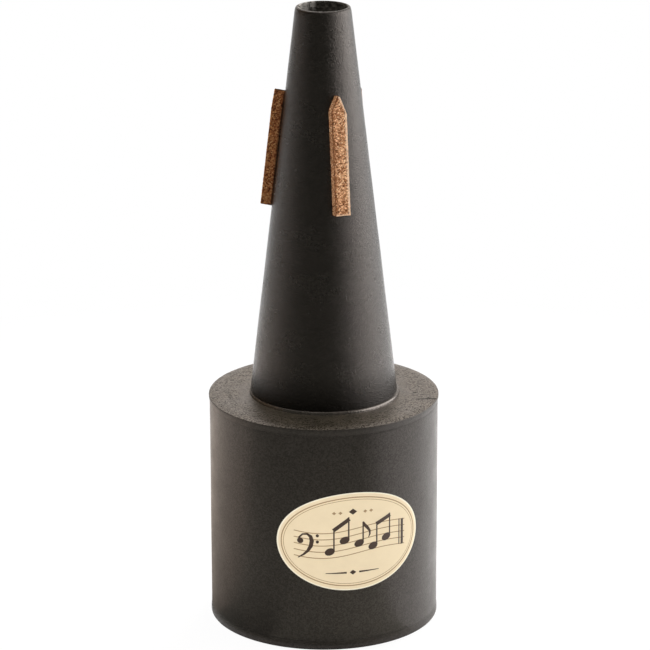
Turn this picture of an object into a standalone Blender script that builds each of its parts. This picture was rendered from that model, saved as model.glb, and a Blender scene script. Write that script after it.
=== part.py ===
"""Straight mute for a trombone.

A hollow fibre cone stands in a closed drum. The drum is a tube between two discs, the cone comes up through
the upper disc, and three cork strips on the cone hold the mute in the bell.

Metres, with +Z up. The origin is the middle of the drum's underside, the front is towards -Y, and angles round
the mute are measured from the front towards +X.
"""

import math

import bmesh
import bpy
from mathutils import Matrix, Vector

# Drum
DRUM_HEIGHT = 0.1111
TUBE_RADIUS = 0.0546
TUBE_WALL = 0.0032
TOP_DISC_OVERHANG = 0.0007
TOP_DISC_THICKNESS = 0.0045
TOP_DISC_ROUNDING = 0.0010
BOTTOM_DISC_OVERHANG = 0.0004
BOTTOM_DISC_THICKNESS = 0.0045
BOTTOM_DISC_ROUNDING = 0.0006
DISC_SANDED_HEIGHT = 0.0022

# Cone
CONE_HEIGHT = 0.1875
CONE_ROOT_RADIUS = 0.0352
CONE_TIP_RADIUS = 0.0130
CONE_WALL = 0.0017
CONE_SKIRT = 0.0080
CONE_LIP_OUTER_ROUNDING = 0.0010
CONE_LIP_INNER_ROUNDING = 0.0005
CONE_LIP_FLAT = 0.0001

# Glue bead round the cone's root. Its roundings are shares of its height.
BEAD_WIDTH = 0.0020
BEAD_HEIGHT = 0.0011
BEAD_CREST_INSET = 0.0004
BEAD_INNER_ROUNDING = 0.3
BEAD_FOOT_ROUNDING = 0.2
BEAD_CREST_ROUNDING = 0.6

# Cork strips. Each has its angle and the height of its foot above the drum.
STRIP_LENGTH = 0.0556
STRIP_WIDTH = 0.0072
STRIP_THICKNESS = 0.0054
STRIP_NOSE_LENGTH = 0.0068
STRIP_NOSE_FLAT = 0.0020
STRIP_EDGE_ROUNDING = 0.00025
STRIP_PLACES = {
    "front": (math.radians(18.8), 0.0939),
    "rear": (math.radians(139.2), 0.0953),
    "left": (math.radians(258.8), 0.0915),
}

# Oval label
LABEL_WIDTH = 0.0730
LABEL_HEIGHT = 0.0487
LABEL_THICKNESS = 0.0003
LABEL_ANGLE = math.radians(14.4)
LABEL_MIDDLE_HEIGHT = 0.0543

# Fit and finish of the model
GLUE_GAP = 0.0003
MERGE_DISTANCE = 1e-6
TURN_STEPS = 96
ROUNDING_STEPS = 4
LABEL_EDGE_POINTS = 64
LABEL_BENDS = 24
SMOOTH_ANGLE = math.radians(35)

CONE_TAPER = (CONE_ROOT_RADIUS - CONE_TIP_RADIUS) / CONE_HEIGHT
CONE_SLOPE = math.atan(CONE_TAPER)


def clear_scene():
    for existing in list(bpy.data.objects):
        bpy.data.objects.remove(existing, do_unlink=True)


def make_material(name, colour, roughness):
    material = bpy.data.materials.new(name)
    material.use_nodes = True
    shader = material.node_tree.nodes["Principled BSDF"]
    shader.inputs["Base Color"].default_value = (*colour, 1.0)
    shader.inputs["Roughness"].default_value = roughness
    shader.inputs["Metallic"].default_value = 0.0
    return material


def add_object(name, mesh, material, root):
    mesh.materials.append(material)
    mesh.shade_smooth()
    mesh.set_sharp_from_angle(angle=SMOOTH_ANGLE)
    part = bpy.data.objects.new(name, mesh)
    bpy.context.collection.objects.link(part)
    part.parent = root
    return part


def mesh_from(bm, name):
    mesh = bpy.data.meshes.new(name)
    bm.to_mesh(mesh)
    bm.free()
    return mesh


def cone_radius(height, offset=0.0):
    """Radius of the cone's outside at a height, or of a surface that far off it, measured square to it."""
    return CONE_ROOT_RADIUS - CONE_TAPER * (height - DRUM_HEIGHT) + offset / math.cos(CONE_SLOPE)


def rounded_outline(corners):
    """Closed outline through (radius, height, rounding) corners, with an arc at each rounded one."""
    outline = []
    for index, (radius, height, rounding) in enumerate(corners):
        corner = Vector((radius, height))
        if rounding == 0:
            outline.append(corner)
            continue
        to_last = (Vector(corners[index - 1][:2]) - corner).normalized()
        to_next = (Vector(corners[(index + 1) % len(corners)][:2]) - corner).normalized()
        half_angle = to_last.angle(to_next) / 2
        centre = corner + (to_last + to_next).normalized() * rounding / math.sin(half_angle)
        start = (corner + to_last * rounding / math.tan(half_angle) - centre).normalized()
        end = (corner + to_next * rounding / math.tan(half_angle) - centre).normalized()
        for step in range(ROUNDING_STEPS + 1):
            outline.append(centre + start.slerp(end, step / ROUNDING_STEPS) * rounding)
    return outline


def turned_mesh(name, corners):
    """Solid of revolution about Z. A corner at radius 0 closes the solid at its pole."""
    bm = bmesh.new()
    ring = [bm.verts.new((point.x, 0, point.y)) for point in rounded_outline(corners)]
    edges = []
    for index, vertex in enumerate(ring):
        last = ring[index - 1]
        if max(last.co.x, vertex.co.x) > 0:
            edges.append(bm.edges.new((last, vertex)))
    bmesh.ops.spin(bm, geom=ring + edges, axis=(0, 0, 1), cent=(0, 0, 0),
                   angle=math.tau, steps=TURN_STEPS, use_merge=True)
    bmesh.ops.remove_doubles(bm, verts=bm.verts, dist=MERGE_DISTANCE)
    bmesh.ops.recalc_face_normals(bm, faces=bm.faces)
    return mesh_from(bm, name)


def make_drum(root):
    """Tube between two discs. The discs' edges are sanded down to the tube where they meet it."""
    fibreboard = make_material("black_fibreboard", (0.032, 0.029, 0.027), 0.62)
    fibre_tube = make_material("black_fibre_tube", (0.028, 0.025, 0.024), 0.45)
    base_board = make_material("black_base_board", (0.030, 0.027, 0.025), 0.60)

    top_radius = TUBE_RADIUS + TOP_DISC_OVERHANG
    top_underside = DRUM_HEIGHT - TOP_DISC_THICKNESS
    top_disc = [
        (cone_radius(DRUM_HEIGHT, GLUE_GAP), DRUM_HEIGHT, 0),
        (cone_radius(top_underside, GLUE_GAP), top_underside, 0),
        (TUBE_RADIUS, top_underside, 0),
        (top_radius, top_underside + DISC_SANDED_HEIGHT, 0),
        (top_radius, DRUM_HEIGHT, TOP_DISC_ROUNDING),
    ]
    add_object("top_disc", turned_mesh("top_disc", top_disc), fibreboard, root)

    tube_bottom = BOTTOM_DISC_THICKNESS + GLUE_GAP
    tube_top = top_underside - GLUE_GAP
    body_tube = [
        (TUBE_RADIUS - TUBE_WALL, tube_top, 0),
        (TUBE_RADIUS - TUBE_WALL, tube_bottom, 0),
        (TUBE_RADIUS, tube_bottom, 0),
        (TUBE_RADIUS, tube_top, 0),
    ]
    add_object("body_tube", turned_mesh("body_tube", body_tube), fibre_tube, root)

    bottom_radius = TUBE_RADIUS + BOTTOM_DISC_OVERHANG
    bottom_disc = [
        (0, BOTTOM_DISC_THICKNESS, 0),
        (0, 0, 0),
        (bottom_radius, 0, BOTTOM_DISC_ROUNDING),
        (bottom_radius, BOTTOM_DISC_THICKNESS - DISC_SANDED_HEIGHT, 0),
        (TUBE_RADIUS, BOTTOM_DISC_THICKNESS, 0),
    ]
    add_object("bottom_disc", turned_mesh("bottom_disc", bottom_disc), base_board, root)


def make_cone(root):
    """Hollow cone with a rounded lip. It was pushed up through the upper disc, and its skirt ends below it."""
    fibre = make_material("black_moulded_fibre", (0.026, 0.024, 0.023), 0.50)
    tip_height = DRUM_HEIGHT + CONE_HEIGHT
    skirt_height = DRUM_HEIGHT - TOP_DISC_THICKNESS - CONE_SKIRT
    both_roundings = CONE_LIP_OUTER_ROUNDING + CONE_LIP_INNER_ROUNDING
    fitting = min(1, CONE_WALL / (both_roundings + CONE_LIP_FLAT))
    shell = [
        (cone_radius(tip_height, -CONE_WALL), tip_height, CONE_LIP_INNER_ROUNDING * fitting),
        (cone_radius(skirt_height, -CONE_WALL), skirt_height, 0),
        (cone_radius(skirt_height), skirt_height, 0),
        (cone_radius(tip_height), tip_height, CONE_LIP_OUTER_ROUNDING * fitting),
    ]
    add_object("cone", turned_mesh("cone", shell), fibre, root)


def make_bead(root):
    """Ring of dried glue in the corner between the cone and the upper disc, painted over."""
    glue = make_material("painted_glue", (0.040, 0.036, 0.033), 0.38)
    foot = DRUM_HEIGHT + GLUE_GAP
    crest = foot + BEAD_HEIGHT
    outer_radius = cone_radius(foot, GLUE_GAP) + BEAD_WIDTH
    bead = [
        (cone_radius(crest, GLUE_GAP), crest, BEAD_HEIGHT * BEAD_INNER_ROUNDING),
        (cone_radius(foot, GLUE_GAP), foot, 0),
        (outer_radius, foot, BEAD_HEIGHT * BEAD_FOOT_ROUNDING),
        (outer_radius - BEAD_CREST_INSET, crest, BEAD_HEIGHT * BEAD_CREST_ROUNDING),
    ]
    add_object("cone_bead", turned_mesh("cone_bead", bead), glue, root)


def strip_mesh():
    """Cork strip before its back is hollowed: X across, Y along it to its nose, Z out to its face.

    Z = 0 is where the cone's surface runs under the strip's middle line. The blank reaches below that, by
    more than the cone falls away under the strip's edges.
    """
    half_width = STRIP_WIDTH / 2
    narrowest = cone_radius(DRUM_HEIGHT + CONE_HEIGHT)
    blank_depth = narrowest - math.sqrt(narrowest ** 2 - half_width ** 2) + GLUE_GAP
    shoulder = STRIP_LENGTH - STRIP_NOSE_LENGTH
    plan = [
        (-half_width, 0),
        (half_width, 0),
        (half_width, shoulder),
        (STRIP_NOSE_FLAT / 2, STRIP_LENGTH),
        (-STRIP_NOSE_FLAT / 2, STRIP_LENGTH),
        (-half_width, shoulder),
    ]
    bm = bmesh.new()
    back = bm.faces.new([bm.verts.new((x, y, -blank_depth)) for x, y in plan])
    block = bmesh.ops.extrude_face_region(bm, geom=[back])
    front = [item for item in block["geom"] if isinstance(item, bmesh.types.BMVert)]
    bmesh.ops.translate(bm, verts=front, vec=(0, 0, blank_depth + STRIP_THICKNESS))
    bmesh.ops.recalc_face_normals(bm, faces=bm.faces)
    outer_edges = [edge for edge in bm.edges if max(vertex.co.z for vertex in edge.verts) > 0]
    bmesh.ops.bevel(bm, geom=outer_edges, offset=STRIP_EDGE_ROUNDING, offset_type="OFFSET", segments=2,
                    profile=0.5, affect="EDGES", material=-1)
    return mesh_from(bm, "cork_strip")


def strip_placement(angle, foot_height):
    """Matrix that lays a strip along the cone, from its foot up, at an angle round the mute."""
    outward = Vector((math.sin(angle), -math.cos(angle), 0))
    across = Vector((math.cos(angle), math.sin(angle), 0))
    along = Vector((0, 0, 1)) * math.cos(CONE_SLOPE) - outward * math.sin(CONE_SLOPE)
    face_out = across.cross(along)
    foot = outward * cone_radius(foot_height) + Vector((0, 0, foot_height))
    turn = Matrix((across, along, face_out)).transposed()
    return Matrix.Translation(foot) @ turn.to_4x4()


def make_strips(root):
    """Three cork strips, about a third of a turn apart, each with its back hollowed to seat on the cone."""
    cork = make_material("pressed_cork", (0.52, 0.29, 0.14), 0.85)
    tip_height = DRUM_HEIGHT + CONE_HEIGHT
    seat = turned_mesh("cone_seat", [
        (0, tip_height, 0),
        (0, DRUM_HEIGHT, 0),
        (cone_radius(DRUM_HEIGHT, GLUE_GAP), DRUM_HEIGHT, 0),
        (cone_radius(tip_height, GLUE_GAP), tip_height, 0),
    ])
    cutter = bpy.data.objects.new("cone_seat_cutter", seat)
    bpy.context.collection.objects.link(cutter)
    cutter.hide_render = True
    cutter.display_type = "WIRE"
    blank = strip_mesh()
    for side, (angle, foot) in STRIP_PLACES.items():
        strip = add_object(f"cork_strip_{side}", blank.copy(), cork, root)
        strip.matrix_world = strip_placement(angle, DRUM_HEIGHT + foot)
        hollow = strip.modifiers.new("hollow_back", "BOOLEAN")
        hollow.operation = "DIFFERENCE"
        hollow.solver = "EXACT"
        hollow.object = cutter


def make_label(root):
    """Oval paper label, cut flat and then wrapped round the tube."""
    paper = make_material("label_paper", (0.82, 0.68, 0.46), 0.45)
    bm = bmesh.new()
    bmesh.ops.create_circle(bm, cap_ends=True, segments=LABEL_EDGE_POINTS, radius=1)
    bmesh.ops.scale(bm, verts=bm.verts, vec=(LABEL_WIDTH / 2, LABEL_HEIGHT / 2, 1))
    for bend in range(1, LABEL_BENDS):
        place = LABEL_WIDTH * bend / LABEL_BENDS - LABEL_WIDTH / 2
        everything = bm.verts[:] + bm.edges[:] + bm.faces[:]
        bmesh.ops.bisect_plane(bm, geom=everything, plane_co=(place, 0, 0), plane_no=(1, 0, 0),
                               dist=MERGE_DISTANCE)
    back = bm.faces[:]
    sheet = bmesh.ops.extrude_face_region(bm, geom=back)
    front = [item for item in sheet["geom"] if isinstance(item, bmesh.types.BMVert)]
    bmesh.ops.translate(bm, verts=front, vec=(0, 0, LABEL_THICKNESS))
    bmesh.ops.recalc_face_normals(bm, faces=bm.faces)
    for vertex in bm.verts:
        across, up, out = vertex.co
        radius = TUBE_RADIUS + GLUE_GAP + out
        angle = LABEL_ANGLE + across / TUBE_RADIUS
        vertex.co = (radius * math.sin(angle), -radius * math.cos(angle), LABEL_MIDDLE_HEIGHT + up)
    add_object("label", mesh_from(bm, "label"), paper, root)


def build():
    clear_scene()
    root = bpy.data.objects.new("mute", None)
    bpy.context.collection.objects.link(root)
    make_drum(root)
    make_cone(root)
    make_bead(root)
    make_strips(root)
    make_label(root)


build()
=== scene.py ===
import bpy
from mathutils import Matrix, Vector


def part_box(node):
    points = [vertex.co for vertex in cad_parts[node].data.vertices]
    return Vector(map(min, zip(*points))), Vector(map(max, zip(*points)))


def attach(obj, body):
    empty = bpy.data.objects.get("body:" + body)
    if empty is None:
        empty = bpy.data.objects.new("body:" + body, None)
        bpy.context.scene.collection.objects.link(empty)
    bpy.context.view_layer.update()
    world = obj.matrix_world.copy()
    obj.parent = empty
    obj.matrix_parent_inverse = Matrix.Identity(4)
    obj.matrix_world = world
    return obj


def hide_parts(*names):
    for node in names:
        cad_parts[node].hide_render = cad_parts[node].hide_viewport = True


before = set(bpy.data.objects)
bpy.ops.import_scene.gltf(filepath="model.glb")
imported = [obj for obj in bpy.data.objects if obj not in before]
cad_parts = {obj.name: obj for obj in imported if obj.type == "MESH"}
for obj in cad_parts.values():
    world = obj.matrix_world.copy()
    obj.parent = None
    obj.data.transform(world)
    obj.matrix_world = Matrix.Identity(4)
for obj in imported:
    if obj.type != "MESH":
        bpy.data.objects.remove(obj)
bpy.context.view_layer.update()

import math

import bmesh
import bpy
from mathutils import Matrix, Vector, noise


# Camera: it stands 1.7 m from the mute, looks down by 18 degrees through a long lens, and is turned
# by a hair from upright.
def new_object(name, data):
    """Object in the scene for a camera, a lamp or a mesh."""
    made = bpy.data.objects.new(name, data)
    bpy.context.scene.collection.objects.link(made)
    return made


photo_pixels = 650
focal_pixels = 3488.6
camera_place = (0.00067, -1.5787, 0.6512)
camera_pitch = math.radians(17.814)
camera_roll = math.radians(0.10)
camera_data = bpy.data.cameras.new("camera")
camera_data.sensor_width = 36.0
camera_data.lens = focal_pixels / photo_pixels * camera_data.sensor_width
camera_data.clip_end = 50.0
camera = new_object("camera", camera_data)
camera_turn = (Matrix.Rotation(math.radians(90) - camera_pitch, 4, "X")
               @ Matrix.Rotation(-camera_roll, 4, "Z"))
camera.matrix_world = Matrix.Translation(camera_place) @ camera_turn
bpy.context.scene.camera = camera


# Studio: a white floor that runs out of view, white walls that are dimmer on the camera side, dark
# cloths that only the paint reflects, and four soft lamps.
def new_tree(owner):
    """Empty node tree of a material or world, ready to be filled."""
    owner.use_nodes = True
    owner.node_tree.nodes.clear()
    return owner.node_tree


def new_material(name):
    """Material and its empty node tree."""
    material = bpy.data.materials.new(name)
    return material, new_tree(material)


def new_mesh(name, bm):
    """Mesh made of a bmesh, which is used up."""
    mesh = bpy.data.meshes.new(name)
    bm.to_mesh(mesh)
    bm.free()
    return mesh


def add(tree, kind, inputs=None, **settings):
    """Adds a node. An input is given a value, or the socket that feeds it."""
    made = tree.nodes.new(kind)
    for name, value in settings.items():
        setattr(made, name, value)
    for name, value in (inputs or {}).items():
        if isinstance(value, bpy.types.NodeSocket):
            tree.links.new(value, made.inputs[name])
        else:
            made.inputs[name].default_value = value
    return made


def math_node(tree, operation, first, second):
    return add(tree, "ShaderNodeMath", {0: first, 1: second}, operation=operation).outputs[0]


def vector_node(tree, operation, *inputs):
    """Result of an operation on vectors: a number for a length, a distance or a dot product."""
    made = add(tree, "ShaderNodeVectorMath", dict(enumerate(inputs)), operation=operation)
    gives_number = operation in ("LENGTH", "DISTANCE", "DOT_PRODUCT")
    return made.outputs["Value" if gives_number else "Vector"]


def along_axis(tree, vector, axis):
    return add(tree, "ShaderNodeSeparateXYZ", {"Vector": vector}).outputs[axis]


def ramp(tree, value, start, end, low=0.0, high=1.0):
    """Goes from low to high while the value goes from start to end, and stays level beyond them."""
    return add(tree, "ShaderNodeMapRange", {"Value": value, "From Min": start, "From Max": end,
                                            "To Min": low, "To Max": high}).outputs[0]


def blend(tree, share, first, second, **settings):
    """Colour that goes from the first to the second with the share. The node's colour sockets are
    inputs 6 and 7 and output 2."""
    return add(tree, "ShaderNodeMix", {0: share, 6: first, 7: second}, data_type="RGBA",
               **settings).outputs[2]


def object_place(tree):
    return add(tree, "ShaderNodeTexCoord").outputs["Object"]


def set_surface(tree, shader):
    add(tree, "ShaderNodeOutputMaterial", {"Surface": shader.outputs[0]})


def ray_kinds(tree):
    """Two shares: 1 for rays from the camera, and 1 for rays that see the studio in or through a
    surface."""
    path = add(tree, "ShaderNodeLightPath").outputs
    passed_on = math_node(tree, "MAXIMUM", path["Is Glossy Ray"], path["Is Transmission Ray"])
    return path["Is Camera Ray"], passed_on


# The walls light the room unevenly, and look white to the camera and warm white in the paint.
white = (1.0, 1.0, 1.0, 1.0)
warm_white = (1.0, 0.93, 0.87, 1.0)
world = bpy.data.worlds.new("studio")
bpy.context.scene.world = world
sky = new_tree(world)
sky_way = add(sky, "ShaderNodeTexCoord").outputs["Generated"]
room_level = ramp(sky, along_axis(sky, sky_way, "Y"), start=-0.6, end=0.3, low=0.42, high=0.90)
sky_mix = add(sky, "ShaderNodeBackground", {"Color": white, "Strength": room_level})
for ray_kind, colour in zip(ray_kinds(sky), (white, warm_white)):
    wall = add(sky, "ShaderNodeBackground", {"Color": colour, "Strength": 1.0})
    sky_mix = add(sky, "ShaderNodeMixShader", {0: ray_kind, 1: sky_mix.outputs[0],
                                               2: wall.outputs[0]})
add(sky, "ShaderNodeOutputWorld", {"Surface": sky_mix.outputs[0]})

# The floor glows white for the camera and the paint, and shows its true shades near the mute.
# For each of the two: the share of glow at the mute, and the distance where it is full.
floor_size = 6.0
floor_drop = 0.0002
glow_start = 0.09
glow_reaches = ((0.92, 0.50), (0.0, 0.66))
floor_sheet = bmesh.new()
bmesh.ops.create_grid(floor_sheet, x_segments=1, y_segments=1, size=floor_size)
bmesh.ops.translate(floor_sheet, verts=floor_sheet.verts, vec=(0, 0, -floor_drop))
floor_mesh = new_mesh("studio_floor", floor_sheet)
floor = new_object("studio_floor", floor_mesh)
floor_white, floor_tree = new_material("white_floor")
floor_paint = add(floor_tree, "ShaderNodeBsdfDiffuse", {"Color": (0.90, 0.90, 0.90, 1.0)})
floor_glow = add(floor_tree, "ShaderNodeEmission", {"Color": white, "Strength": 1.0})
floor_distance = vector_node(floor_tree, "LENGTH", object_place(floor_tree))
glow_shares = []
for ray_kind, (near_share, full_distance) in zip(ray_kinds(floor_tree), glow_reaches):
    share = ramp(floor_tree, floor_distance, glow_start, full_distance, low=near_share)
    glow_shares.append(math_node(floor_tree, "MULTIPLY", ray_kind, share))
glow_share = math_node(floor_tree, "MAXIMUM", *glow_shares)
floor_mix = add(floor_tree, "ShaderNodeMixShader", {0: glow_share, 1: floor_paint.outputs[0],
                                                    2: floor_glow.outputs[0]})
set_surface(floor_tree, floor_mix)
floor_mesh.materials.append(floor_white)

# Cloths: four on the floor, two hanging far off, and a low one that hides the foot of the right
# softbox from the cone. The two cloths at the left, darker close to the mute, are painted shadow of
# the drum on the floor, as the paint reflects it. Each: its tones at both ends, its colour, its
# first angle and its sweep in degrees, its ends as (radius, height), and whether it keeps the
# lamps' light off too.
grey = (1.0, 1.0, 0.90)
tan = (1.0, 0.88, 0.78)
brown = (1.0, 0.70, 0.46)
cloths = {
    "left_shadow_cloth": (0.40, 0.84, tan, -150, 76, ((0.056, 0.002), (0.42, 0.002)), False),
    "shadow_cloth": (0.21, 0.44, grey, -74, 44, ((0.056, 0.003), (0.12, 0.003)), False),
    "near_cloth": (0.58, 0.20, grey, -74, 125, ((0.056, 0.002), (0.30, 0.002)), False),
    "floor_cloth": (0.21, 0.17, grey, -74, 125, ((0.300, 0.002), (1.90, 0.002)), False),
    "low_cloth": (0.09, 0.07, grey, 34, 38, ((0.80, 0.002), (0.80, 0.150)), True),
    "hanging_cloth": (0.14, 0.12, grey, -74, 125, ((1.90, 0.002), (1.90, 3.40)), False),
    "left_hanging_cloth": (0.27, 0.25, brown, -148, 74, ((1.90, 0.002), (1.90, 2.40)), False),
}
for cloth_name, row in cloths.items():
    first_tone, last_tone, tint, first_angle, sweep, ends, shades = row
    cloth = bmesh.new()
    cloth.edges.new([cloth.verts.new((radius, 0, height)) for radius, height in ends])
    bmesh.ops.rotate(cloth, verts=cloth.verts, cent=(0, 0, 0),
                     matrix=Matrix.Rotation(math.radians(first_angle - 90), 3, "Z"))
    bmesh.ops.spin(cloth, geom=cloth.verts[:] + cloth.edges[:], cent=(0, 0, 0), axis=(0, 0, 1),
                   angle=math.radians(sweep), steps=24, use_merge=False)
    cloth_mesh = new_mesh(cloth_name, cloth)
    cloth_dye, cloth_tree = new_material(cloth_name)
    distance = vector_node(cloth_tree, "LENGTH", object_place(cloth_tree))
    share = ramp(cloth_tree, distance, math.hypot(*ends[0]), math.hypot(*ends[1]))
    end_colours = [(*(tone * Vector(tint)), 1) for tone in (first_tone, last_tone)]
    colour = blend(cloth_tree, share, *end_colours)
    set_surface(cloth_tree, add(cloth_tree, "ShaderNodeBsdfDiffuse", {"Color": colour}))
    cloth_mesh.materials.append(cloth_dye)
    cloth_object = new_object(cloth_name, cloth_mesh)
    cloth_object.visible_camera = False
    cloth_object.visible_diffuse = False
    cloth_object.visible_shadow = shades

# Lamps. Each: its middle, the point it faces, its width and height, its power, whether it lights
# surfaces, and whether it shows in the paint.
lamp_colour = (1.0, 0.96, 0.93)
lamps = {
    "right_softbox": ((0.90, 0.05, 0.46), (0, 0, 0.46), (1.40, 0.90), 12.5, False, True),
    "right_fill": ((0.56, 0.72, 0.42), (0.25, 0, 0), (1.00, 0.80), 21.5, True, False),
    "left_fill": ((-0.75, 0.50, 0.35), (-0.25, 0, 0), (0.80, 0.60), 4.0, True, False),
    "front_softbox": ((-0.35, -0.85, 1.30), (0, 0, 0.10), (0.90, 0.90), 11.0, True, False),
}
for lamp_name, (place, aim, size, power, lights, shows) in lamps.items():
    light = bpy.data.lights.new(lamp_name, "AREA")
    light.shape = "RECTANGLE"
    light.size, light.size_y = size
    light.energy = power
    light.color = lamp_colour
    lamp = new_object(lamp_name, light)
    lamp.location = place
    lamp.rotation_mode = "QUATERNION"
    lamp.rotation_quaternion = (Vector(aim) - Vector(place)).to_track_quat("-Z", "Y")
    lamp.visible_camera = False
    lamp.visible_diffuse = lights
    lamp.visible_glossy = shows

bpy.context.scene.view_settings.view_transform = "Standard"


# Cone: a moulded fibre shell, open at the tip, pushed up through the drum's upper disc and painted
# black. The paint has a pebbled grain and is lumpy inside. It is worn at the rounded lip, which is
# also lightened as a painted highlight. It carries painted glints in streaks down the left of the
# bore, and above the drum it is dulled and darkened as painted shade at the cone's root.
drum_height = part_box("top_disc")[1].z
cone_low, cone_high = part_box("cone")
cone_tip_radius = 0.0130
cone_root_radius = 0.0352
cone_wall = 0.0017
cone_taper = (cone_root_radius - cone_tip_radius) / (cone_high.z - drum_height)
weld_distance = 1e-6


def cone_radius(height):
    return cone_root_radius - cone_taper * (height - drum_height)


def clamp(value):
    return min(1, max(0, value))


def turned(corners, steps, longest):
    """Bmesh of an outline turned about the mute's axis, seen at +X and listed as (radius, height,
    rounding). Its straight stretches are divided until no edge is longer than longest."""
    bm = bmesh.new()
    points = [bm.verts.new((radius, 0, height)) for radius, height, rounding in corners]
    bm.faces.new(points)
    for point, (radius, height, rounding) in zip(points, corners):
        if rounding:
            bmesh.ops.bevel(bm, geom=[point], offset=rounding, offset_type="OFFSET", segments=6,
                            profile=0.5, affect="VERTICES", material=-1)
    bmesh.ops.delete(bm, geom=bm.faces[:], context="FACES_ONLY")
    on_axis = [edge for edge in bm.edges
               if max(vertex.co.x for vertex in edge.verts) < weld_distance]
    bmesh.ops.delete(bm, geom=on_axis, context="EDGES")
    for edge in bm.edges[:]:
        cuts = math.ceil(edge.calc_length() / longest) - 1
        if cuts > 0:
            bmesh.ops.subdivide_edges(bm, edges=[edge], cuts=cuts)
    bmesh.ops.spin(bm, geom=bm.verts[:] + bm.edges[:], cent=(0, 0, 0), axis=(0, 0, 1),
                   angle=math.tau, steps=steps, use_merge=True)
    bmesh.ops.remove_doubles(bm, verts=bm.verts, dist=weld_distance)
    bmesh.ops.recalc_face_normals(bm, faces=bm.faces)
    return bm


def settle(bm, depth, size, fade=None):
    """Lets a skin sink by up to depth, in waves of about that size, as hand-finished fibre does.
    With fade, the waves grow from nothing at its first height to their full depth at its second."""
    bm.normal_update()
    moves = []
    for vertex in bm.verts:
        share = clamp((vertex.co.z - fade[0]) / (fade[1] - fade[0])) if fade else 1
        wave = 0.5 + 0.5 * noise.noise(vertex.co / size)
        moves.append(vertex.normal * depth * share * wave)
    for vertex, move in zip(bm.verts, moves):
        vertex.co -= move


def finish_piece(name, bm, materials, stands_for, smooth_angle=35):
    """Makes a bmesh into the piece that is shown for one node of the model, or with it."""
    mesh = new_mesh(name, bm)
    for material in materials:
        mesh.materials.append(material)
    mesh.shade_smooth()
    mesh.set_sharp_from_angle(angle=math.radians(smooth_angle))
    piece = new_object(name, mesh)
    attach(piece, "root")
    if stands_for:
        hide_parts(stands_for)


def noise_node(tree, place, scale, detail, roughness=0.5):
    """Cloudy number around one half."""
    return add(tree, "ShaderNodeTexNoise", {"Vector": place, "Scale": scale, "Detail": detail,
                                            "Roughness": roughness}).outputs[0]


def patches(tree, place, scale, low, high):
    """Share of 0 to 1 in irregular patches, which cover more where low and high are smaller."""
    return ramp(tree, noise_node(tree, place, scale, detail=8.0, roughness=0.7), low, high)


def cell_number(tree, place, size):
    """Number of 0 to 1 that is the same all over each cell of about that size."""
    cells = add(tree, "ShaderNodeTexVoronoi", {"Vector": place, "Scale": 1 / size})
    return add(tree, "ShaderNodeSeparateColor", {0: cells.outputs["Color"]}).outputs[0]


def painted_fibre(name, dark, light, roughness, grain, grain_depth, gloss=(0.5, 0.7), wear_and_light=None,
                  film=None):
    """Black paint over fibre: two close tones in clouds, a pebbled grain, and a roughness and gloss
    that vary. Where the wear function, called with (tree, place), gives a share and a colour, that
    colour shows through and the gloss is lost. Callers give real wear, painted highlights and
    painted shade this way. Where film(tree, place) gives a share, the paint lies on a film of glue,
    thicker and evenly glossy."""
    material, tree = new_material(name)
    place = object_place(tree)
    clouds = noise_node(tree, place, scale=90.0, detail=6.0, roughness=0.6)
    speckle = cell_number(tree, place, grain)
    tone = math_node(tree, "MULTIPLY", ramp(tree, clouds, 0.35, 0.68, low=0.35), speckle)
    colour = blend(tree, tone, dark, light)
    shine = ramp(tree, speckle, 0.1, 0.9, *gloss)
    if film:
        covered = film(tree, place)
        shine = add(tree, "ShaderNodeMix", {0: covered, 2: shine, 3: 0.5 * gloss[1]}).outputs[0]
    if wear_and_light:
        share, wear_and_light_colour = wear_and_light(tree, place)
        colour = blend(tree, share, colour, wear_and_light_colour)
        shine = math_node(tree, "MULTIPLY", shine, math_node(tree, "SUBTRACT", 1.0, share))
    dullness = ramp(tree, clouds, 0.3, 0.7, roughness - 0.05, roughness + 0.06)
    pebbles = add(tree, "ShaderNodeTexVoronoi", {"Vector": place, "Scale": 1 / grain,
                                                 "Smoothness": 0.6}, feature="SMOOTH_F1")
    crumbs = noise_node(tree, place, scale=1.6 / grain, detail=3.0)
    height = math_node(tree, "ADD", pebbles.outputs[0], crumbs)
    if film:
        height = math_node(tree, "ADD", height, covered)
    bump = add(tree, "ShaderNodeBump", {"Height": height, "Strength": 1.0,
                                        "Distance": grain_depth})
    set_surface(tree, add(tree, "ShaderNodeBsdfPrincipled", {
        "Base Color": colour, "Roughness": dullness, "Specular IOR Level": shine,
        "Specular Tint": (1.0, 0.92, 0.87, 1.0), "Normal": bump.outputs[0]}))
    return material


cone_black = (0.0014, 0.0012, 0.0008, 1)
# The lip's rubbed fibre is made light enough to serve as a painted highlight too.
lip_fibre_and_highlight = (0.23, 0.215, 0.20, 1)
# Pale colour of the painted glints inside the bore.
bore_glint = (0.55, 0.52, 0.48, 1)
lip_rub_and_highlight_heights = (cone_high.z - 0.0005, cone_high.z - 0.0001)
# Painted shade: the paint is dulled and darker in the last 2 cm above the drum, where the cone
# meets the disc.
foot_shade_heights = (drum_height + 0.0190, drum_height + 0.0010)
bore_glint_heights = (cone_high.z - 0.0070, cone_high.z - 0.0030)
bore_glint_sides = (-0.0030, -0.0058)
most_lip_rub_and_highlight = 0.75
most_foot_shade = 0.72


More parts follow.
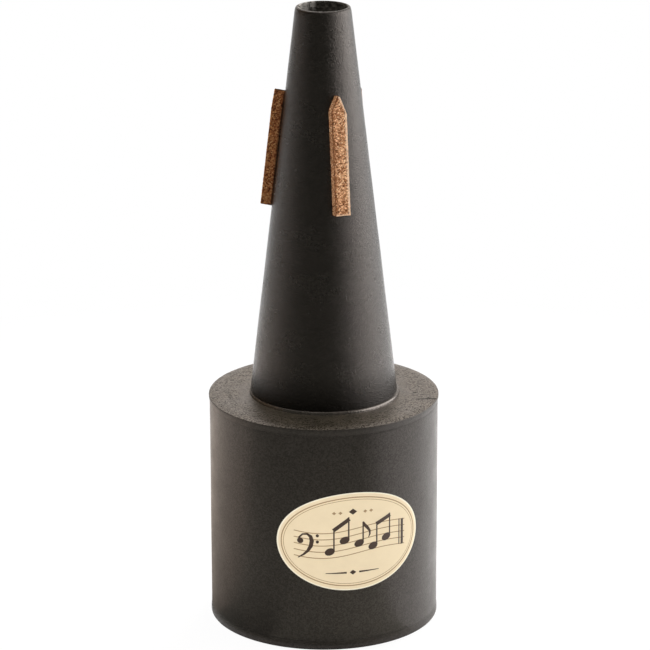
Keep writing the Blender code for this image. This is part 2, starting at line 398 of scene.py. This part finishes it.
def cone_wear_and_light(tree, place):
    """The lip is rubbed down to the grey fibre and also lightened as a painted highlight. In the
    last
    2 cm above the drum the paint is dulled and darkened as painted shade at the cone's root."""
    height = along_axis(tree, place, "Z")
    rub_and_highlight = math_node(tree, "MULTIPLY", patches(tree, place, 500.0, 0.40, 0.58), most_lip_rub_and_highlight)
    lip = math_node(tree, "MULTIPLY", ramp(tree, height, *lip_rub_and_highlight_heights), rub_and_highlight)
    foot = ramp(tree, height, *foot_shade_heights, high=most_foot_shade)
    return math_node(tree, "MAXIMUM", lip, foot), blend(tree, lip, cone_black, lip_fibre_and_highlight)


def bore_glints(tree, place):
    """Painted glints: pale streaks down the left of the bore, just below the lip."""
    near_lip = ramp(tree, along_axis(tree, place, "Z"), *bore_glint_heights)
    at_left = ramp(tree, along_axis(tree, place, "X"), *bore_glint_sides)
    streaks = vector_node(tree, "MULTIPLY", place, (1.0, 1.0, 0.45))
    area = math_node(tree, "MULTIPLY", near_lip, at_left)
    return math_node(tree, "MULTIPLY", area, patches(tree, streaks, 420.0, 0.40, 0.54)), bore_glint


cone_paint = painted_fibre("cone_paint", dark=cone_black, light=(0.0050, 0.0040, 0.0028, 1),
                           roughness=0.24, grain=0.00055, grain_depth=0.00015, wear_and_light=cone_wear_and_light)
bore_paint = painted_fibre("bore_paint", dark=(0.016, 0.015, 0.012, 1),
                           light=(0.060, 0.055, 0.045, 1), roughness=0.34, grain=0.0016,
                           grain_depth=0.0005, wear_and_light=bore_glints)

inner_lip_rounding = 0.0004
outer_lip_rounding = 0.0007
lip_ease = 0.00035
lip_ease_height = 0.0030
eased_lip = []
for share in (0, 0.2, 0.4, 0.6, 1):
    height = cone_high.z - lip_ease_height * (1 - share)
    radius = cone_radius(height) - lip_ease * share ** 2
    eased_lip.append((radius, height, outer_lip_rounding if share == 1 else 0))
cone_shell = turned([
    (cone_radius(cone_high.z) - cone_wall, cone_high.z, inner_lip_rounding),
    (cone_radius(cone_low.z) - cone_wall, cone_low.z, 0),
    (cone_radius(cone_low.z), cone_low.z, 0),
] + eased_lip, steps=192, longest=0.0015)
for face in cone_shell.faces:
    faces_inwards = face.normal.xy.dot(face.calc_center_median().xy) < 0
    face.material_index = int(faces_inwards)
settle(cone_shell, depth=0.00012, size=0.018)
finish_piece("painted_cone", cone_shell, [cone_paint, bore_paint], "cone")


# Upper disc: a fibreboard ring, a little larger than the tube, sanded down towards its rim by hand.
# Its face is finely speckled, with an evener gloss where glue was wiped out from the cone, and
# small dark specks. At the right there is a dark line along the edge of a flake of paint, painted
# as the shadow of the flake's step, and a dark fleck.
top_low, top_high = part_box("top_disc")
tube_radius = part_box("body_tube")[1].x
hole_clearance = 0.0001
hole_rounding = 0.0002
rim_radius = top_high.x - 0.0003
rim_rounding = 0.0003
slope_width = 0.0046
slope_drop = 0.0007
slope_power = 1.5
flare_height = 0.0030
joint_lift = 0.0003
curve_steps = 8


def flare(joint_height, out_radius, upward):
    """Points of the outline where a disc's edge eases out from the joint with the tube to its own
    radius."""
    points = []
    for step in range(curve_steps + 1):
        ease = (1 - math.cos(math.pi * step / curve_steps)) / 2
        points.append((tube_radius + (out_radius - tube_radius) * ease,
                       joint_height + upward * flare_height * step / curve_steps, 0))
    return points


def sanded_slope():
    """Points of the outline where the face is sanded down towards its rim, from below."""
    return [(rim_radius - slope_width * step / curve_steps,
             top_high.z - slope_drop * (1 - step / curve_steps) ** slope_power, 0)
            for step in range(1, curve_steps + 1)]


def off_line(tree, place, start, end):
    """Distance from the straight line between two points of the disc's face."""
    start, end = Vector((*start, top_high.z)), Vector((*end, top_high.z))
    way = end - start
    from_start = vector_node(tree, "SUBTRACT", place, start)
    along = vector_node(tree, "DOT_PRODUCT", from_start, way / way.length_squared)
    nearest = add(tree, "ShaderNodeVectorMath", {0: way, "Scale": ramp(tree, along, 0.0, 1.0)},
                  operation="SCALE").outputs[0]
    return vector_node(tree, "DISTANCE", from_start, nearest)


film_edge = 0.0446
film_edge_width = 0.0007
film_wander = 0.006
film_thickness = 0.45
# The dark line along the flake's edge is painted shadow of its step.
flake_shadow_line = ((0.0540, -0.0107), (0.0445, -0.0129))
dark_fleck = ((0.0433, -0.0029), (0.0438, -0.0029))
mark_width = 0.0016
speck_darkness = 0.7
mark_and_shadow_darkness = 0.85
mark_and_shadow_colour = (0.008, 0.007, 0.005, 1)


def glue_film(tree, place):
    """The glue was wiped outwards from the cone, to an uneven edge."""
    radius = vector_node(tree, "LENGTH", vector_node(tree, "MULTIPLY", place, (1.0, 1.0, 0.0)))
    wander = math_node(tree, "MULTIPLY", noise_node(tree, place, 70.0, detail=3.0), film_wander)
    return ramp(tree, math_node(tree, "ADD", radius, wander), film_edge,
                film_edge - film_edge_width, high=film_thickness)


def face_marks_and_shadow(tree, place):
    """Small dark specks all over, the painted shadow along the flake's edge, and the dark fleck."""
    specks = patches(tree, place, 260.0, 0.70, 0.76)
    marks = math_node(tree, "MULTIPLY", specks, speck_darkness)
    wander = noise_node(tree, place, 400.0, detail=3.0)
    width = math_node(tree, "MULTIPLY", wander, mark_width)
    for start, end in (flake_shadow_line, dark_fleck):
        mark = math_node(tree, "LESS_THAN", off_line(tree, place, start, end), width)
        mark = math_node(tree, "MULTIPLY", mark, mark_and_shadow_darkness)
        marks = math_node(tree, "MAXIMUM", marks, mark)
    return marks, mark_and_shadow_colour


drum_black = (0.0060, 0.0050, 0.0038, 1)
drum_black_light = (0.012, 0.0098, 0.0078, 1)
board_paint = painted_fibre("board_paint", dark=(0.013, 0.0112, 0.0075, 1),
                            light=(0.065, 0.0527, 0.0347, 1), roughness=0.34, grain=0.00055,
                            grain_depth=0.00009, gloss=(0.10, 2.85), wear_and_light=face_marks_and_shadow,
                            film=glue_film)
edge_paint = painted_fibre("edge_paint", dark=drum_black, light=drum_black_light, roughness=0.40,
                           grain=0.0006, grain_depth=0.00005, gloss=(0.50, 0.66))
tube_paint = painted_fibre("tube_paint", dark=drum_black, light=drum_black_light, roughness=0.36,
                           grain=0.0006, grain_depth=0.00003)
disc_paints = [board_paint, tube_paint, edge_paint]
disc_ring = turned([
    (cone_radius(top_high.z) + hole_clearance, top_high.z, hole_rounding),
    (cone_radius(top_low.z) + hole_clearance, top_low.z, 0),
    (tube_radius, top_low.z, 0),
] + flare(top_low.z + joint_lift, rim_radius, 1) + [
    (rim_radius, top_high.z - slope_drop, rim_rounding),
] + sanded_slope(), steps=256, longest=0.0012)
for face in disc_ring.faces:
    faces_up = face.normal.z > 0.94
    faces_down = face.normal.z <= -0.02
    paint = board_paint if faces_up else edge_paint if faces_down else tube_paint
    face.material_index = disc_paints.index(paint)
settle(disc_ring, depth=0.00010, size=0.030)
settle(disc_ring, depth=0.00012, size=0.005, fade=(top_low.z + 0.001, top_high.z - 0.0005))
finish_piece("board_ring", disc_ring, disc_paints, "top_disc")


# Glue bead: a thin ring of glue pressed out where the cone comes through the disc, painted with the
# rest. It is fullest at the front right.
bead_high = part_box("cone_bead")[1]
bead_sink = 0.0002
bead_lean = (0.0002, 0.0001)
bead_rounding = 0.0010
mean_fullness = 0.36
fullness_swing = 0.26
full_side = math.radians(50)
bead_paint = painted_fibre("bead_paint", dark=(0.008, 0.007, 0.005, 1),
                           light=(0.022, 0.018, 0.013, 1), roughness=0.26, grain=0.0010,
                           grain_depth=0.00004, gloss=(1.1, 1.3))
bead_ring = turned([
    (cone_radius(bead_high.z) - bead_sink, bead_high.z, 0),
    (cone_radius(top_high.z) - bead_sink, top_high.z - bead_sink, 0),
    (bead_high.x, top_high.z - bead_sink, 0),
    (bead_high.x - bead_lean[0], bead_high.z - bead_lean[1], bead_rounding),
], steps=256, longest=0.0004)
full_way = Vector((math.sin(full_side), -math.cos(full_side)))
for vertex in bead_ring.verts:
    fullness = mean_fullness + fullness_swing * full_way.dot(vertex.co.xy.normalized())
    inner = cone_radius(vertex.co.z) - bead_sink
    radius = vertex.co.xy.length
    vertex.co.xy *= (inner + (radius - inner) * fullness) / radius
settle(bead_ring, depth=0.00015, size=0.007)
finish_piece("glue_ring", bead_ring, [bead_paint], "cone_bead")


# Drum tube: paper fibre wound on a mandrel and painted, smoother than the cone. The paint runs over
# the joints with both discs, which show only as a fine line.
tube_low, tube_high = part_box("body_tube")
base_low, base_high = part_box("bottom_disc")
tube_thickness = 0.0032
tube_wall = turned([
    (tube_radius - tube_thickness, tube_high.z, 0),
    (tube_radius - tube_thickness, tube_low.z, 0),
    (tube_radius, base_high.z, 0),
    (tube_radius, top_low.z, 0),
], steps=256, longest=0.003)
settle(tube_wall, depth=0.00010, size=0.030)
finish_piece("drum_tube", tube_wall, [tube_paint], "body_tube")


# Lower disc: closes the drum and carries the mute. Its edge eases out from the tube like the upper
# disc's, and its underside is scuffed where it stands.
foot_radius = base_high.x - 0.00015
foot_rounding = 0.0006
sole_heights = (0.0001, 0.0006)
scuffed_fibre = (0.11, 0.09, 0.065, 1)


def sole_wear(tree, place):
    """The paint is scuffed through in patches of the underside."""
    under = ramp(tree, along_axis(tree, place, "Z"), *sole_heights, low=1.0, high=0.0)
    scuffs = patches(tree, place, 300.0, 0.50, 0.68)
    return math_node(tree, "MULTIPLY", under, scuffs), scuffed_fibre


base_paint = painted_fibre("base_paint", dark=drum_black, light=(0.014, 0.0115, 0.0092, 1),
                           roughness=0.38, grain=0.0006, grain_depth=0.00004, gloss=(0.42, 0.54),
                           wear_and_light=sole_wear)
base_plate = turned([
    (0, base_high.z, 0),
    (0, base_low.z, 0),
    (foot_radius, base_low.z, foot_rounding),
] + flare(base_high.z, foot_radius, -1)[::-1], steps=256, longest=0.0025)
settle(base_plate, depth=0.00010, size=0.030, fade=(0.0, 0.0005))
finish_piece("base_board", base_plate, [base_paint], "bottom_disc")


# Label: an oval of coated paper stuck on the drum, cream, with its cut edge paler. It is printed in
# two inks, a tan stave and frame and dark brown notes, a design that belongs to no maker.
label_width = 0.0730
label_height = 0.0487
label_turn = math.radians(14.4)
label_middle = 0.0543
paper_thickness = 0.00015
paper_lift = 0.00001
ink_thickness = 0.00002
label_bends = 48
bend_snap = 1e-5
cream = (0.76, 0.635, 0.43, 1)
light_cream = (0.80, 0.675, 0.46, 1)
cut_paper = (0.86, 0.80, 0.64, 1)


def wrap_on_drum(bm, thickness, lift):
    """Bends a flat bmesh round the drum as a sheet of that thickness, at that lift off the tube."""
    for bend in range(1, label_bends):
        place = label_width * (bend / label_bends - 0.5)
        bmesh.ops.bisect_plane(bm, geom=bm.verts[:] + bm.edges[:] + bm.faces[:],
                               plane_co=(place, 0, 0), plane_no=(1, 0, 0), dist=bend_snap)
    thick = bmesh.ops.extrude_face_region(bm, geom=bm.faces[:])
    raised = [item for item in thick["geom"] if isinstance(item, bmesh.types.BMVert)]
    bmesh.ops.translate(bm, verts=raised, vec=(0, 0, thickness))
    bmesh.ops.recalc_face_normals(bm, faces=bm.faces)
    for vertex in bm.verts:
        angle = label_turn + vertex.co.x / tube_radius
        radius = tube_radius + lift + vertex.co.z
        height = label_middle + vertex.co.y
        vertex.co = (radius * math.sin(angle), -radius * math.cos(angle), height)


paper, paper_tree = new_material("label_paper")
paper_place = add(paper_tree, "ShaderNodeUVMap", uv_map="oval").outputs["UV"]
near_edge = ramp(paper_tree, vector_node(paper_tree, "LENGTH", paper_place), 0.970, 0.985)
paper_clouds = patches(paper_tree, paper_place, 3.0, 0.30, 0.70)
paper_tone = blend(paper_tree, paper_clouds, cream, light_cream)
paper_colour = blend(paper_tree, near_edge, paper_tone, cut_paper)
set_surface(paper_tree, add(paper_tree, "ShaderNodeBsdfPrincipled", {
    "Base Color": paper_colour, "Roughness": 0.50, "Specular IOR Level": 0.3}))

oval = bmesh.new()
bmesh.ops.create_circle(oval, cap_ends=True, segments=160, radius=1.0)
uv = oval.loops.layers.uv.new("oval")
for vertex in oval.verts:
    for loop in vertex.link_loops:
        loop[uv].uv = vertex.co.xy
bmesh.ops.scale(oval, verts=oval.verts, vec=(label_width / 2, label_height / 2, 1))
wrap_on_drum(oval, paper_thickness, paper_lift)
finish_piece("label_paper", oval, [paper], "label")


def stroke(bm, points, widths):
    """Flat line through the points, as wide at each as widths says. All is in millimetres."""
    rails = []
    for index, (point, width) in enumerate(zip(points, widths)):
        before, after = points[max(index - 1, 0)], points[min(index + 1, len(points) - 1)]
        along = (Vector(after) - Vector(before)).normalized()
        aside = Vector((-along.y, along.x)) * width / 2
        rails.append([bm.verts.new((*((Vector(point) + aside * side) / 1000), 0))
                      for side in (1, -1)])
    for (left, right), (next_left, next_right) in zip(rails, rails[1:]):
        bm.faces.new((right, next_right, next_left, left))


def blob(bm, middle, half_width, half_height, tilt=0.0, corners=28):
    """Flat filled oval in millimetres, or a lozenge where it has four corners."""
    turns = [math.tau * step / corners for step in range(corners)]
    points = [Vector((half_width * math.cos(turn), half_height * math.sin(turn)))
              for turn in turns]
    points = [Matrix.Rotation(tilt, 2) @ point + Vector(middle) for point in points]
    bm.faces.new([bm.verts.new((point.x / 1000, point.y / 1000, 0)) for point in points])


def ink(name, colour):
    material, tree = new_material(name)
    set_surface(tree, add(tree, "ShaderNodeBsdfPrincipled", {"Base Color": colour,
                                                             "Roughness": 0.45}))
    return material


def on_stave(x, line):
    """Point on a line of the wavy stave, which has lines -2 to 2."""
    return (x, stave_gap * line + wave_height * math.sin(x / wave_reach))


# The tan print: a double frame, the stave, and four lozenges above it. Both prints are drawn in
# millimetres from the label's middle.
stave_gap = 3.1
wave_height = 1.6
wave_reach = 9.5
half_width = label_width * 500
half_height = label_height * 500
tan_print = bmesh.new()
frame_turns = [math.tau * step / 120 for step in range(121)]
for inset, width in ((2.3, 0.55), (3.4, 0.25)):
    frame_line = [((half_width - inset) * math.cos(turn), (half_height - inset) * math.sin(turn))
                  for turn in frame_turns]
    stroke(tan_print, frame_line, [width] * len(frame_line))
for line in range(-2, 3):
    stave = [on_stave(x / 2, line) for x in range(-56, 57)]
    stroke(tan_print, stave, [0.42] * len(stave))
for x in (-9.0, -6.0, 6.0, 9.0):
    blob(tan_print, (x, 14.6), 1.0, 0.8, corners=4)
wrap_on_drum(tan_print, ink_thickness, paper_thickness + paper_lift)
tan_ink = ink("tan_ink", (0.36, 0.24, 0.12, 1))
finish_piece("label_print_tan", tan_print, [tan_ink], None)

# The brown print starts with the clef and its two dots.
brown_print = bmesh.new()
clef = [(-25.2, 1.8), (-25.4, 3.6), (-23.8, 5.2), (-21.6, 5.4), (-20.0, 4.2), (-19.4, 2.0),
        (-19.9, -0.6), (-21.3, -3.0), (-23.4, -5.0), (-26.0, -6.6)]
clef_widths = [1.2, 0.9, 0.8, 1.0, 1.7, 2.1, 1.9, 1.4, 0.9, 0.4]
clef_lift = on_stave(-23.0, 0)[1]
stroke(brown_print, [(x, y + clef_lift) for x, y in clef], clef_widths)
blob(brown_print, (-24.9, 2.0 + clef_lift), 1.5, 1.4)
for dot in (1.5, 4.6):
    blob(brown_print, (-16.8, dot + clef_lift), 0.75, 0.75)

# Five notes, each with its place, its line and whether a beam joins it to its neighbour.
notes = ((-11.0, -1.0, True), (-4.0, 0.5, True), (3.0, -0.5, False), (10.0, -1.5, True),
         (17.0, -0.5, True))
stem_shift = 1.95
tops = []
for x, line, beamed in notes:
    middle = on_stave(x, line)
    blob(brown_print, middle, 2.45, 1.75, tilt=math.radians(22))
    top = (x + stem_shift, middle[1] + (11.5 if beamed else 10.5))
    stroke(brown_print, [(x + stem_shift, middle[1] + 0.4), top], [0.7, 0.7])
    tops.append(top)
for near, far in (tops[0:2], tops[3:5]):
    beam = [(near[0] - 0.35, near[1] - 0.9), (far[0] + 0.35, far[1] - 0.9)]
    stroke(brown_print, beam, [1.9, 1.9])
flag = [(0.0, 0.0), (0.7, -1.6), (2.2, -3.2), (3.3, -4.9), (3.4, -6.6), (2.7, -8.2)]
flag_widths = [0.8, 1.5, 1.5, 1.1, 0.8, 0.3]
stroke(brown_print, [(tops[2][0] + x, tops[2][1] + y) for x, y in flag], flag_widths)

# The double bar, and a lozenge above and below, the lower one between two tapered lines.
lower_row = -15.4
for x, width in ((24.6, 0.6), (26.4, 1.5)):
    stroke(brown_print, [on_stave(x, -2.07), on_stave(x, 2.07)], [width, width])
blob(brown_print, (0.0, 15.0), 2.0, 1.5, corners=4)
for side in (-1, 1):
    stroke(brown_print, [(side * 3.0, lower_row), (side * 13.0, lower_row)], [0.9, 0.3])
blob(brown_print, (0.0, lower_row), 1.6, 1.2, corners=4)
wrap_on_drum(brown_print, ink_thickness, paper_thickness + 2 * paper_lift)
brown_ink = ink("brown_ink", (0.050, 0.026, 0.016, 1))
finish_piece("label_print_brown", brown_print, [brown_ink], None)


# Cork strips: pressed cork granules, pointed at the tip end, hollowed behind to sit on the cone and
# glued down. The outer faces are fresh and pale, the cut sides browner, partly as painted shade,
# and the corners crumble a little. Seen from outside, the left edge carries a line of painted
# shade, and the right edge and the foot carry a painted highlight. The glue line along the cone is
# darkened with painted contact shadow, and the tip end with painted shade.
strip_length = 0.0556
strip_width = 0.0072
strip_thickness = 0.0054
nose_length = 0.0068
nose_flat = 0.0011
nose_offset = 0.0014
strip_rounding = 0.0004
strip_grid = 0.00036
granule = 0.0006

# For each strip: its direction in degrees and its foot's height above the drum. Then come how far
# its sides are browned, partly as painted shade, how dark its glue line and tip end are with
# painted shadow, and how strong the painted highlight on its edge is.
strip_places = {"front": (18.8, 0.0939), "rear": (138.3, 0.0953), "left": (-101.2, 0.0915)}
strip_stain_and_light = {"front": (0.32, 0.0, 0.75), "rear": (0.5, 0.4, 0.3), "left": (1.0, 1.0, 0.0)}

cork_tones = ((0.0, (0.10, 0.032, 0.012)), (0.25, (0.33, 0.130, 0.052)),
              (0.55, (0.64, 0.320, 0.160)), (0.85, (0.90, 0.530, 0.290)),
              (1.0, (0.96, 0.680, 0.410)))
seam_brown = (0.16, 0.065, 0.028, 1)
# Pale colour of the painted highlight along the strips' outer edges.
edge_highlight_cork = (0.98, 0.75, 0.54, 1)
seam_width = 0.10
granule_wander = 0.0006
cork, cork_tree = new_material("pressed_cork")
cork_place = object_place(cork_tree)
wobble = add(cork_tree, "ShaderNodeTexNoise", {"Vector": cork_place, "Scale": 900.0,
                                               "Detail": 2.0}).outputs["Color"]
wander = vector_node(cork_tree, "MULTIPLY", wobble, (granule_wander,) * 3)
granule_place = vector_node(cork_tree, "ADD", cork_place, wander)
cork_ramp = add(cork_tree, "ShaderNodeValToRGB",
                {0: cell_number(cork_tree, granule_place, granule)})
cork_stops = cork_ramp.color_ramp.elements
for position, _ in cork_tones[1:-1]:
    cork_stops.new(position)
for stop, (_, tone) in zip(cork_stops, cork_tones):
    stop.color = (*tone, 1)
seams = add(cork_tree, "ShaderNodeTexVoronoi", {"Vector": granule_place, "Scale": 1 / granule},
            feature="DISTANCE_TO_EDGE")
fullness = ramp(cork_tree, seams.outputs["Distance"], 0.0, seam_width)
cork_colour = blend(cork_tree, fullness, seam_brown, cork_ramp.outputs[0])
# The strips' own attribute: its colour holds their browning, painted shade and painted shadow, and
# its alpha the share of painted highlight.
cork_tint_and_light = add(cork_tree, "ShaderNodeAttribute", attribute_name="cork_tint_and_light").outputs
cork_tinted = blend(cork_tree, 1.0, cork_colour, cork_tint_and_light["Color"], blend_type="MULTIPLY",
                    clamp_result=True)
cork_final = blend(cork_tree, cork_tint_and_light["Alpha"], cork_tinted, edge_highlight_cork)
fine_relief = noise_node(cork_tree, cork_place, 3000.0, detail=4.0)
cork_relief = math_node(cork_tree, "ADD", fullness, fine_relief)
cork_bump = add(cork_tree, "ShaderNodeBump", {"Height": cork_relief, "Strength": 1.0,
                                              "Distance": 0.00012})
set_surface(cork_tree, add(cork_tree, "ShaderNodeBsdfPrincipled", {
    "Base Color": cork_final, "Roughness": 0.9, "Specular IOR Level": 0.12,
    "Normal": cork_bump.outputs[0]}))

# One plain strip, lying with its back at Y = 0 and its length along Z, cut into a fine grid.
half = strip_width / 2
shoulder = strip_length - nose_length
outline = [(-half, 0), (half, 0), (half, shoulder - nose_offset), (nose_flat / 2, strip_length),
           (-nose_flat / 2, strip_length), (-half, shoulder)]
plain_strip = bmesh.new()
plain_strip.faces.new([plain_strip.verts.new((x, 0, z)) for x, z in outline])
block = bmesh.ops.extrude_face_region(plain_strip, geom=plain_strip.faces[:])
moved = [item for item in block["geom"] if isinstance(item, bmesh.types.BMVert)]
bmesh.ops.translate(plain_strip, verts=moved, vec=(0, strip_thickness, 0))
outer_edges = [edge for edge in plain_strip.edges
               if min(vertex.co.y for vertex in edge.verts) > weld_distance]
bmesh.ops.bevel(plain_strip, geom=outer_edges, offset=strip_rounding, offset_type="OFFSET",
                segments=3, profile=0.5, affect="EDGES", material=-1)
for normal, start, reach in (((1, 0, 0), -half, strip_width), ((0, 1, 0), 0, strip_thickness),
                             ((0, 0, 1), 0, strip_length)):
    cuts = round(reach / strip_grid)
    for cut in range(1, cuts):
        everything = plain_strip.verts[:] + plain_strip.edges[:] + plain_strip.faces[:]
        bmesh.ops.bisect_plane(plain_strip, geom=everything, dist=weld_distance,
                               plane_co=Vector(normal) * (start + reach * cut / cuts),
                               plane_no=normal)
bmesh.ops.recalc_face_normals(plain_strip, faces=plain_strip.faces)

# The cut sides are browned, partly as painted shade.
side_brown_and_shade = Vector((0.33, 0.255, 0.180))
# A line of painted shade runs along the left outer edge.
corner_shade = Vector((0.70, 0.84, 0.93))
corner_depth = 0.0008
corner_radius = 0.0014
# A painted highlight runs along the right outer edge and the foot, broken up a little.
highlight_inset = 0.0006
highlight_width = 0.0008
highlight_strength = 1.6
highlight_breaks = 0.0011
foot_inset = 0.0004
foot_gap = 0.0003
# Painted shade on the tip end, and a painted contact shadow with the glue line along the cone.
end_depth = 0.0005
end_shade = 0.7
glue_shadow_depth = 0.0009


def strip_tint_and_light(spot, stain_and_shade, glue_and_shadow, highlight):
    """Colour factor at a spot of the plain strip, and the share of painted highlight: browner cut
    sides, partly painted shade; a dark line along the cone, glue with painted contact shadow;
    painted shade on the tip end; and along the outer edge, a line of painted shade on the left and
    a painted highlight on the right and at the foot."""
    beyond = max(0, spot.z - shoulder) / nose_length
    reach = half - (half - nose_flat / 2) * beyond
    below_face = spot.y - strip_thickness
    tint = Vector((1, 1, 1)).lerp(side_brown_and_shade, stain_and_shade * min(1, -below_face / strip_rounding))
    off_corner = math.hypot(spot.x + reach, below_face + corner_depth)
    corner_shade_share = corner_shade * max(0, 1 - off_corner / corner_radius)
    edge_gap = min(abs(spot.x - reach + highlight_inset), abs(spot.z - foot_inset) + foot_gap)
    edge_highlight = clamp(highlight_strength - highlight_strength * math.hypot(edge_gap, below_face) / highlight_width)
    edge_highlight *= clamp(0.85 + 0.7 * noise.noise(spot / highlight_breaks))
    on_end = max(0, 1 - (strip_length - spot.z) / end_depth)
    glue_and_shadow_line = max(0, 1 - spot.y / glue_shadow_depth)
    glue_and_shadow_share = glue_and_shadow * max(glue_and_shadow_line, end_shade * on_end)
    tint = [part * (1 - loss) * (1 - glue_and_shadow_share) for part, loss in zip(tint, corner_shade_share)]
    return (*tint, highlight * edge_highlight)


# Each strip is a copy of the plain one with its own lumps, stood on the cone at its place. Its back
# is pulled onto the cone in a few steps, and what would sink into the cone beside it is lifted out.
slope = math.atan(cone_taper)
lump_height = 0.00010
lump_sink = 0.00012
for side, (degrees, foot) in strip_places.items():
    strip = plain_strip.copy()
    strip.normal_update()
    tint_layer = strip.verts.layers.float_color.new("cork_tint_and_light")
    for vertex in strip.verts:
        vertex[tint_layer] = strip_tint_and_light(vertex.co, *strip_stain_and_light[side])
    turn = math.radians(degrees)
    outward = Vector((math.sin(turn), -math.cos(turn), 0))
    across = Vector((math.cos(turn), math.sin(turn), 0))
    along = Vector((0, 0, 1)) * math.cos(slope) - outward * math.sin(slope)
    face_out = across.cross(along)
    base = outward * cone_radius(drum_height + foot) + Vector((0, 0, drum_height + foot))
    moves = []
    for vertex in strip.verts:
        lump = noise.noise(vertex.co / granule + Vector((degrees, 0, 0))) * lump_height
        moves.append(vertex.normal * (lump - lump_sink))
    for vertex, move in zip(strip.verts, moves):
        spot = vertex.co + move
        spot = base + across * spot.x + face_out * spot.y + along * spot.z
        level = 1 - vertex.co.y / strip_thickness
        on_back = vertex.co.y < weld_distance
        for step in range(3 if on_back else 1):
            gap = spot.xy.length - cone_radius(spot.z)
            if on_back or gap < 0:
                spot -= face_out * gap * level
        vertex.co = spot
    finish_piece("cork_" + side, strip, [cork], "cork_strip_" + side, smooth_angle=50)
plain_strip.free()
